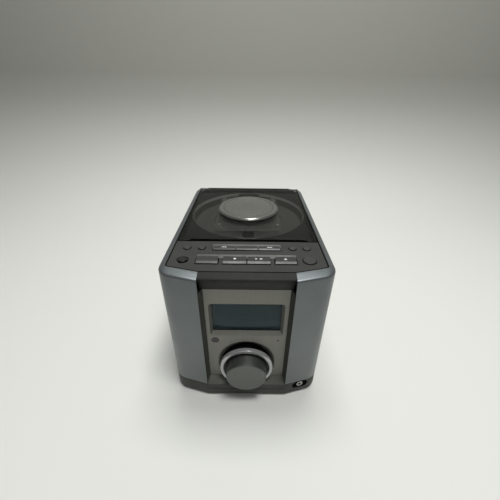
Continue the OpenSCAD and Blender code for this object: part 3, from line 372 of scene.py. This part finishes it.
OVERRIDE = {
    "disc_well": disc_zones("well_plastic", WELL_ZONES_WITH_HIGHLIGHT, 0.3, 0.42),
    "rear_panel": moulded("rear_plastic", (36, 36, 35), 0.3, 0.42, grain=900.0, depth=0.00001),
    # the bracket's near-white colour on its opaque edges is a painted highlight along them
    "clamper_bracket": film("bracket_painted_highlight", (222, 221, 213), 0.13, "Z", 0.3, 0.45, 0.4),
    # the faceplate's darker second colour is painted shade on the slants of its display mouth
    "faceplate": satin_face("face_silver", (132, 131, 124), (76, 76, 72)),
    # one plastic: its sill and side strips are painted lighter and its brow darker, painted light
    # and shade for how light falls on each
    "front_bezel": by_height("bezel_painted_light", (80, 80, 73), (38, 38, 36), [BEZEL_SILL, BEZEL_BROW],
                             0.4, 0.54, 0.3),
}
# the keys' black skirts are partly painted shade for the gaps in front of the keys
BAR_PAINT = painted_key("bar_key_paint", (52, 52, 51), KEY_TOP - BEVEL_DROP)
ROUND_PAINT = painted_key("round_key_paint", (56, 56, 54), KEY_TOP - ROUND_DROP)
OVERRIDE.update(dict.fromkeys(BAR_KEYS, BAR_PAINT))
OVERRIDE.update(dict.fromkeys(ROUND_KEYS, ROUND_PAINT))
OVERRIDE["standby_key"] = painted_key("standby_key_paint", (26, 26, 26), KEY_TOP - ROUND_DROP)
PRINT = moulded("print_ink", (232, 233, 231), 0.5, 0.6, vary=0.03)
GHOST = moulded("segment_ink", (44, 60, 66), 0.35, 0.45, vary=0.03)
LENS = clear("pickup_lens", (170, 185, 235), 0.02, 1.55)
# black sheet for painted shade, in the gap inside the rim and in the headphone recess
SHADE_BLACK = moulded("painted_shade_black", (8, 8, 8), 0.75, 0.9, grain=1500.0, gloss=0.15)
# pale plating on the bracket's screw heads; its light colour also stands in for glints on them
PLATED_AND_GLINT = polished("screw_plating_and_glint", (222, 222, 218), 0.25, 0.35)
FELT = moulded("turntable_pad", (30, 30, 30), 0.8, 0.95, grain=1200.0, depth=0.0001)


# Mesh helpers

def smooth_group(limit):
    """Node group that shades smooth, but for edges that turn by more than a limit in degrees."""
    group = bpy.data.node_groups.new("smooth_by_angle_%d" % limit, "GeometryNodeTree")
    group.interface.new_socket("Geometry", in_out="INPUT", socket_type="NodeSocketGeometry")
    group.interface.new_socket("Geometry", in_out="OUTPUT", socket_type="NodeSocketGeometry")
    start = group.nodes.new("NodeGroupInput")
    end = group.nodes.new("NodeGroupOutput")
    faces = group.nodes.new("GeometryNodeSetShadeSmooth")
    edges = group.nodes.new("GeometryNodeSetShadeSmooth")
    edges.domain = "EDGE"
    edges.inputs["Shade Smooth"].default_value = False
    angle = group.nodes.new("GeometryNodeInputMeshEdgeAngle")
    test = group.nodes.new("FunctionNodeCompare")
    test.operation = "GREATER_THAN"
    test.inputs["B"].default_value = math.radians(limit)
    group.links.new(start.outputs[0], faces.inputs["Geometry"])
    group.links.new(faces.outputs[0], edges.inputs["Geometry"])
    group.links.new(angle.outputs["Unsigned Angle"], test.inputs["A"])
    group.links.new(test.outputs[0], edges.inputs["Selection"])
    group.links.new(edges.outputs[0], end.inputs[0])
    return group


SMOOTH = smooth_group(32)
CRISP = smooth_group(14)
WELD_REACH = 0.000004
SHARP_ANGLE = math.radians(40)


def soften(obj, width, shading_group=SMOOTH):
    """Welds split corners, rounds the sharp edges a little and shades the rest smooth."""
    weld = obj.modifiers.new("weld", "WELD")
    weld.merge_threshold = WELD_REACH
    if width:
        bevel = obj.modifiers.new("bevel", "BEVEL")
        bevel.width = width
        bevel.segments = 3
        bevel.limit_method = "ANGLE"
        bevel.angle_limit = SHARP_ANGLE
        bevel.harden_normals = False
    shading = obj.modifiers.new("smooth", "NODES")
    shading.node_group = shading_group


def mesh_object(name, mesh_builder, material, closed=True):
    """New object from a bmesh builder; the faces of a closed form are turned outwards."""
    mesh = bpy.data.meshes.new(name)
    made = bmesh.new()
    mesh_builder(made)
    if closed:
        bmesh.ops.recalc_face_normals(made, faces=made.faces)
    made.to_mesh(mesh)
    made.free()
    obj = bpy.data.objects.new(name, mesh)
    scene.collection.objects.link(obj)
    obj.data.materials.append(material)
    return obj


def piece(name, mesh_builder, body, material):
    """New piece from a bmesh builder, riding on a body."""
    obj = mesh_object(name, mesh_builder, material)
    soften(obj, 0.0)
    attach(obj, body)
    return obj


def wall(made, low, high):
    """Faces between two rings of equal length."""
    count = len(low)
    for i in range(count):
        k = (i + 1) % count
        made.faces.new((low[i], low[k], high[k], high[i]))


def slab_faces(made, outline, low, high, into):
    """Closed slab over an outline, between two levels; into places (x, y, level) in the model."""
    rings = [[made.verts.new(into(x, y, level)) for x, y in outline] for level in (low, high)]
    for ring in rings:
        made.faces.new(ring)
    wall(made, *rings)


def fill_between(made, outer, inner):
    """Flat face between two closed rings of vertices."""
    edges = []
    for ring in (outer, inner):
        for i, vert in enumerate(ring):
            pair = (vert, ring[(i + 1) % len(ring)])
            edges.append(made.edges.get(pair) or made.edges.new(pair))
    bmesh.ops.triangle_fill(made, use_beauty=True, edges=edges)


def circle(made, radius, level, steps, into):
    turns = (math.tau * k / steps for k in range(steps))
    return [made.verts.new(into(radius * math.cos(a), radius * math.sin(a), level)) for a in turns]


def ring_faces(made, section, steps, into):
    """Closed ring turned from a section of (radius, level) that closes on itself."""
    rings = [circle(made, radius, level, steps, into) for radius, level in section]
    for i, ring in enumerate(rings):
        wall(made, ring, rings[(i + 1) % len(rings)])


def dome_faces(made, section, steps, into):
    """Closed form turned from a section of (radius, level), from a flat foot to a flat top."""
    rings = [circle(made, radius, level, steps, into) for radius, level in section]
    made.faces.new(rings[0])
    for low, high in zip(rings, rings[1:]):
        wall(made, low, high)
    made.faces.new(rings[-1])


def upwards(x0, y0, z0):
    """Work on a level face, in millimetres: local x and y with the level along Z."""
    return lambda x, y, level: ((x0 + x) * MM, (y0 + y) * MM, (z0 + level) * MM)


def rearwards(x0, y0, z0):
    """Work on a face that looks to the rear: local x and z with the level out along Y."""
    return lambda x, z, level: ((x0 + x) * MM, (y0 + level) * MM, (z0 + z) * MM)


def forwards(x0, y0, z0):
    """Work on a face that looks to the front: local x and z with the level out along -Y."""
    return lambda x, z, level: ((x0 + x) * MM, (y0 - level) * MM, (z0 + z) * MM)


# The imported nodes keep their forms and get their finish

NODE_SLOT = {part["node"]: part["material_slot"] for part in RECORD["subparts"]}
PLAIN_EDGE = 0.12
FINE_EDGE = dict.fromkeys(KEYS, 0.15)
FINE_EDGE.update({
    "left_side_panel": 0.35, "right_side_panel": 0.35, "control_panel": 0.5, "front_bezel": 0.4,
    "faceplate": 0.25, "base_tray": 0.4, "rear_panel": 0.3, "cd_lid": 0.3, "lid_medallion": 0.28,
    "volume_knob": 0.5, "disc_well": 0.2, "rubber_feet": 0.4,
})
CREASED = {"control_panel", "faceplate", "front_bezel", "knob_ring", "lid_medallion"} | KEYS
for node, obj in NODES.items():
    obj.data.materials.clear()
    obj.data.materials.append(OVERRIDE.get(node) or SLOTS[NODE_SLOT[node]])
    edge_width = FINE_EDGE.get(node, PLAIN_EDGE) * MM
    soften(obj, edge_width, CRISP if node in CREASED else SMOOTH)


# Signs on the keys

INK_T = 0.04


def rect(x0, y0, x1, y1):
    return [(x0, y0), (x1, y0), (x1, y1), (x0, y1)]


# Each sign's x, its row of keys, and its outlines
SIGNS = {
    "stop_key": (-10.6, "front", [rect(-0.9, -0.9, 0.9, 0.9)]),
    "play_key": (9.8, "front", [
        [(-2.9, -0.9), (-1.2, 0), (-2.9, 0.9)],
        rect(1.0, -0.9, 1.6, 0.9),
        rect(2.2, -0.9, 2.8, 0.9),
    ]),
    "eject_key": (32.5, "front", [
        [(-1.3, -0.2), (1.3, -0.2), (0, 1.1)],
        rect(-1.3, -1.1, 1.3, -0.6),
    ]),
    "skip_back_key": (-20.9, "rear", [
        rect(-2.5, -0.8, -2.1, 0.8),
        [(-0.3, -0.8), (-0.3, 0.8), (-2.0, 0)],
        [(1.6, -0.8), (1.6, 0.8), (-0.1, 0)],
    ]),
    "skip_on_key": (19.7, "rear", [
        rect(2.1, -0.8, 2.5, 0.8),
        [(0.3, -0.8), (2.0, 0), (0.3, 0.8)],
        [(-1.6, -0.8), (0.1, 0), (-1.6, 0.8)],
    ]),
}
for key, (x, row, outlines) in SIGNS.items():
    def sign(made, outlines=outlines, into=upwards(x, KEY_ROW_Y[row], KEY_TOP)):
        for outline in outlines:
            slab_faces(made, outline, -INK_T, INK_T, into)
    piece(key + "_sign", sign, key, PRINT)


# Screws

SCREW_STEPS = 36
SCREW_PROFILE = ((1.0, 0.0), (1.0, 0.45), (0.88, 0.82), (0.7, 1.0))
CASE_HEAD_R, CASE_HEAD_H = 2.6, 1.4
BRACKET_HEAD_R, BRACKET_HEAD_H = 1.9, 0.9


def cross_outline(arm, half):
    """Outline of a cross, with the reach and the half width of its arms."""
    quarter = [(arm, half), (half, half), (half, arm)]
    outline = []
    for turn in range(4):
        for x, y in quarter:
            for _ in range(turn):
                x, y = -y, x
            outline.append((x, y))
    return outline


def screw_faces(made, into, radius, height):
    """Domed head with a cross recess."""
    rings = [circle(made, radius * r, height * h, SCREW_STEPS, into) for r, h in SCREW_PROFILE]
    made.faces.new(rings[0])
    for low, high in zip(rings, rings[1:]):
        wall(made, low, high)
    outline = cross_outline(radius * 0.6, radius * 0.15)
    lip = [made.verts.new(into(x, y, height)) for x, y in outline]
    floor = [made.verts.new(into(x * 0.8, y * 0.8, height * 0.35)) for x, y in outline]
    wall(made, floor, lip)
    made.faces.new(floor)
    fill_between(made, rings[-1], lip)


def case_screw_faces(made):
    for side in (-1, 1):
        for z in SCREW_Z:
            into = rearwards(side * SCREW_X, REAR_FACE, z)
            screw_faces(made, into, CASE_HEAD_R, CASE_HEAD_H)


screws = piece("case_screw_heads", case_screw_faces, "case", SLOTS["black_steel"])
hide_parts("case_screws")


def bracket_screw_faces(made):
    for side in (-1, 1):
        for end in (-1, 1):
            into = upwards(side * BRACKET_SCREW[0], DISC_Y + end * BRACKET_SCREW[1], BRACKET_TOP)
            screw_faces(made, into, BRACKET_HEAD_R, BRACKET_HEAD_H)


piece("bracket_screw_heads", bracket_screw_faces, "lid", PLATED_AND_GLINT)


# Disc drive

LENS_R, LENS_H, LENS_RINGS = 3.0, 0.55, 8
PAD_SECTION = [(10.0, -0.05), (14.6, -0.05), (14.6, 0.2), (14.3, 0.3), (10.3, 0.3), (10.0, 0.2)]


def lens_faces(made):
    turns = [math.pi / 2 * k / LENS_RINGS for k in range(LENS_RINGS)]
    rise = [(LENS_R * math.cos(a), LENS_H * math.sin(a)) for a in turns]
    dome_faces(made, rise, 36, upwards(*LENS_AT))


piece("pickup_lens", lens_faces, "pickup", LENS)


def pad_faces(made):
    ring_faces(made, PAD_SECTION, 72, upwards(0.0, DISC_Y, REST_TOP))


piece("turntable_pad", pad_faces, "turntable", FELT)


# Black strip along the inner wall of the rim, beside the lid and the control panel: painted shade
# in the gap

CORNER_Y, CORNER_RUN = -86.8, 3
RIM_WALL = [(67.5, 94.0), (67.5, CORNER_Y), (67.45, -87.4), (67.15, -88.4), (66.7, -89.2),
            (66.0, -89.9), (65.2, -90.4), (64.5, -90.65), (39.4, -97.4)]
SHADE_STRIP_T, SHADE_STRIP_LOW, SHADE_STRIP_HIGH = 0.35, 147.2, 149.3


def inside_rim(x, y):
    """Point on the black strip's inner side; past the corner it also moves rearwards."""
    turned_in = min(1.0, max(0.0, (CORNER_Y - y) / CORNER_RUN))
    return x - SHADE_STRIP_T, y + SHADE_STRIP_T * turned_in


def rim_shade_faces(made):
    inner = [inside_rim(x, y) for x, y in RIM_WALL]
    for side in (-1, 1):
        outline = [(side * x, y) for x, y in RIM_WALL + inner[::-1]]
        slab_faces(made, outline, SHADE_STRIP_LOW, SHADE_STRIP_HIGH, upwards(0.0, 0.0, 0.0))


piece("rim_shade_strip", rim_shade_faces, "case", SHADE_BLACK)


# Black sheet in the headphone socket's recess: painted shade

CHEEK_X, CHEEK_Y = 39.0, -107.5
CHEEK_OUT, CHEEK_BACK = 34.0, 9.2
CHEEK_TURN = math.atan2(CHEEK_BACK, CHEEK_OUT)
PHONE_X, PHONE_Z = 55.0, 12.9
PHONE_Y = CHEEK_Y + (PHONE_X - CHEEK_X) * CHEEK_BACK / CHEEK_OUT


def on_cheek(x, z, depth):
    """Work on the right angled face of the base: depth runs into the face."""
    c, s = math.cos(CHEEK_TURN), math.sin(CHEEK_TURN)
    return ((PHONE_X + x * c - depth * s) * MM, (PHONE_Y + x * s + depth * c) * MM,
            (PHONE_Z + z) * MM)


def stadium(half, r, steps=12):
    """Outline with round ends, of a half length and an end radius."""
    outline = []
    for centre, first in ((half - r, -90.0), (r - half, 90.0)):
        for k in range(steps + 1):
            a = math.radians(first + 180.0 * k / steps)
            outline.append((centre + r * math.cos(a), r * math.sin(a)))
    return outline


def phone_shade_faces(made):
    mouth, floor, back, hole_r = 0.15, 1.85, 2.18, 3.45
    outer, inner = stadium(8.42, 4.92), stadium(8.0, 4.5)
    rings = [[made.verts.new(on_cheek(x, z, depth)) for x, z in outline]
             for outline, depth in ((outer, back), (outer, mouth), (inner, mouth), (inner, floor))]
    for low, high in zip(rings, rings[1:]):
        wall(made, low, high)
    hole = [circle(made, hole_r, depth, 36, on_cheek) for depth in (floor, back)]
    wall(made, *hole)
    fill_between(made, rings[3], hole[0])
    fill_between(made, rings[0], hole[1])


piece("headphone_shade_sheet", phone_shade_faces, "case", SHADE_BLACK)


# Insulators in the rear sockets

# Each one's inner and outer radius, and its slot
INSULATOR = {"lower": (1.8, 3.2, "red_plastic"), "upper": (1.8, 3.2, "white_plastic"),
             "antenna": (1.3, 3.4, "white_plastic")}
for socket, (inner, outer, slot) in INSULATOR.items():
    def insulator(made, inner=inner, outer=outer, at=SOCKETS[socket]):
        section = [(inner, -0.2), (outer, -0.2), (outer, 0.1), (inner + 0.1, 0.1), (inner, 0.0)]
        ring_faces(made, section, 48, rearwards(at[0], SOCKET_TIP, at[1]))
    piece(socket + "_socket_insulator", insulator, "case", SLOTS[slot])


# Unlit segments of the display, on the face of the module behind its window

SEGMENT = 0.6
SEGMENT_LOW, SEGMENT_HIGH = -0.02, 0.03
DIGITS = 7
DIGIT_W, DIGIT_H, DIGIT_PITCH = 3.6, 7.2, 5.4
DIGIT_LEFT, DIGIT_LOW = -17.0, 96.0


def bar_outline(x0, z0, x1, z1):
    """Segment with pointed ends between two corners of a digit."""
    half = SEGMENT / 2
    gap = SEGMENT * 0.7
    if abs(x1 - x0) > abs(z1 - z0):
        return [(x0 + gap, z0 - half), (x1 - gap, z0 - half), (x1 - gap + half, z0),
                (x1 - gap, z0 + half), (x0 + gap, z0 + half), (x0 + gap - half, z0)]
    return [(x0 - half, z0 + gap), (x0, z0 + gap - half), (x0 + half, z0 + gap),
            (x0 + half, z1 - gap), (x0, z1 - gap + half), (x0 - half, z1 - gap)]


def segment_faces(made):
    w, h = DIGIT_W, DIGIT_H
    lines = [(0, 0, w, 0), (0, h / 2, w, h / 2), (0, h, w, h), (0, 0, 0, h / 2), (0, h / 2, 0, h),
             (w, 0, w, h / 2), (w, h / 2, w, h)]
    for digit in range(DIGITS):
        into = forwards(DIGIT_LEFT + digit * DIGIT_PITCH, MODULE_FACE, DIGIT_LOW)
        for line in lines:
            slab_faces(made, bar_outline(*line), SEGMENT_LOW, SEGMENT_HIGH, into)


piece("display_segments", segment_faces, "case", GHOST)


# Camera

PICTURE_PX = 500.0
FOCAL_PX = 275.0
CAMERA_AT = Vector((1.78, -274.13, 277.62)) * MM
PITCH, YAW, ROLL = (math.radians(a) for a in (31.27, -0.13, -0.69))
yaw = Matrix.Rotation(YAW, 3, "Z")
ahead = yaw @ Vector((0, math.cos(PITCH), -math.sin(PITCH)))
right = yaw @ Vector((1, 0, 0))
down = yaw @ Vector((0, -math.sin(PITCH), -math.cos(PITCH)))
side = right * math.cos(ROLL) + down * math.sin(ROLL)
fall = -right * math.sin(ROLL) + down * math.cos(ROLL)
data = bpy.data.cameras.new("photo_camera")
data.sensor_width = 36.0
data.lens = data.sensor_width * FOCAL_PX / PICTURE_PX
data.clip_start = 0.01
camera = bpy.data.objects.new("photo_camera", data)
columns = Matrix((side, -fall, -ahead)).transposed()
camera.matrix_world = Matrix.Translation(CAMERA_AT) @ columns.to_4x4()
scene.collection.objects.link(camera)
scene.camera = camera


# Floor that sweeps up into a backdrop

FLOOR_HALF, FLOOR_FRONT, FLOOR_BACK = 1.6, -1.6, 0.62
SWEEP_R, SWEEP_STEPS = 0.25, 16
BACKDROP_H = 1.3
FLOOR_DROP = 0.0001
WALL_SHADE_H = 0.3


def floor_faces(made):
    sweep_y = FLOOR_BACK - SWEEP_R
    line = [(FLOOR_FRONT, 0.0), (sweep_y, 0.0)]
    for k in range(1, SWEEP_STEPS + 1):
        a = math.pi / 2 * k / SWEEP_STEPS
        line.append((sweep_y + SWEEP_R * math.sin(a), SWEEP_R * (1 - math.cos(a))))
    line.append((FLOOR_BACK, BACKDROP_H))
    rows = [[made.verts.new((x, y, z - FLOOR_DROP)) for y, z in line]
            for x in (-FLOOR_HALF, FLOOR_HALF)]
    for i in range(len(line) - 1):
        made.faces.new((rows[0][i], rows[1][i], rows[1][i + 1], rows[0][i + 1]))


# the sweep runs from the pale floor colour to a darker colour up the backdrop: painted shade on the
# wall
paper = Maker("floor_paper")
wall_shade = paper.spread(paper.parts("Object")["Z"], RAMP_LOW, RAMP_HIGH, 0.0, WALL_SHADE_H)
paper.tint(wall_shade, shade(222, 223, 217), shade(152, 152, 145))
paper.rough(paper.noise(30.0, 4.0), 0.8, 0.9)
paper.bump(paper.noise(900.0, 3.0), 0.1, 0.00005)
floor = mesh_object("floor", floor_faces, paper.material, closed=False)
for face in floor.data.polygons:
    face.use_smooth = True


# Studio light

WORLD_COLOUR = (0.93, 0.95, 0.97, 1)
WORLD_STRENGTH = 0.1


def softbox(name, at, aim, size, power):
    """Rectangular lamp at a place, turned to a point; power in watts."""
    lamp = bpy.data.lights.new(name, "AREA")
    lamp.shape = "RECTANGLE"
    lamp.size, lamp.size_y = size
    lamp.energy = power
    obj = bpy.data.objects.new(name, lamp)
    obj.location = at
    obj.rotation_euler = (Vector(aim) - Vector(at)).to_track_quat("-Z", "Y").to_euler()
    scene.collection.objects.link(obj)


softbox("ceiling_light", (0.03, 0.22, 1.4), (0, 0, 0.1), (0.6, 0.4), 9.5)
softbox("front_light", (0.2, -0.3, 1.35), (0, -0.1, 0.1), (0.4, 0.3), 9.5)
softbox("edge_light", (0.12, -0.77, 1.26), (0, -0.1, 0.06), (0.12, 0.1), 0.8)
softbox("card_light", (0, -1.0, 0.8), (0, -0.1, 0.06), (0.8, 0.5), 0.4)

world = bpy.data.worlds.new("studio")
world.use_nodes = True
scene.world = world
back = world.node_tree.nodes["Background"]
back.inputs["Color"].default_value = WORLD_COLOUR
back.inputs["Strength"].default_value = WORLD_STRENGTH

scene.view_settings.view_transform = "Standard"
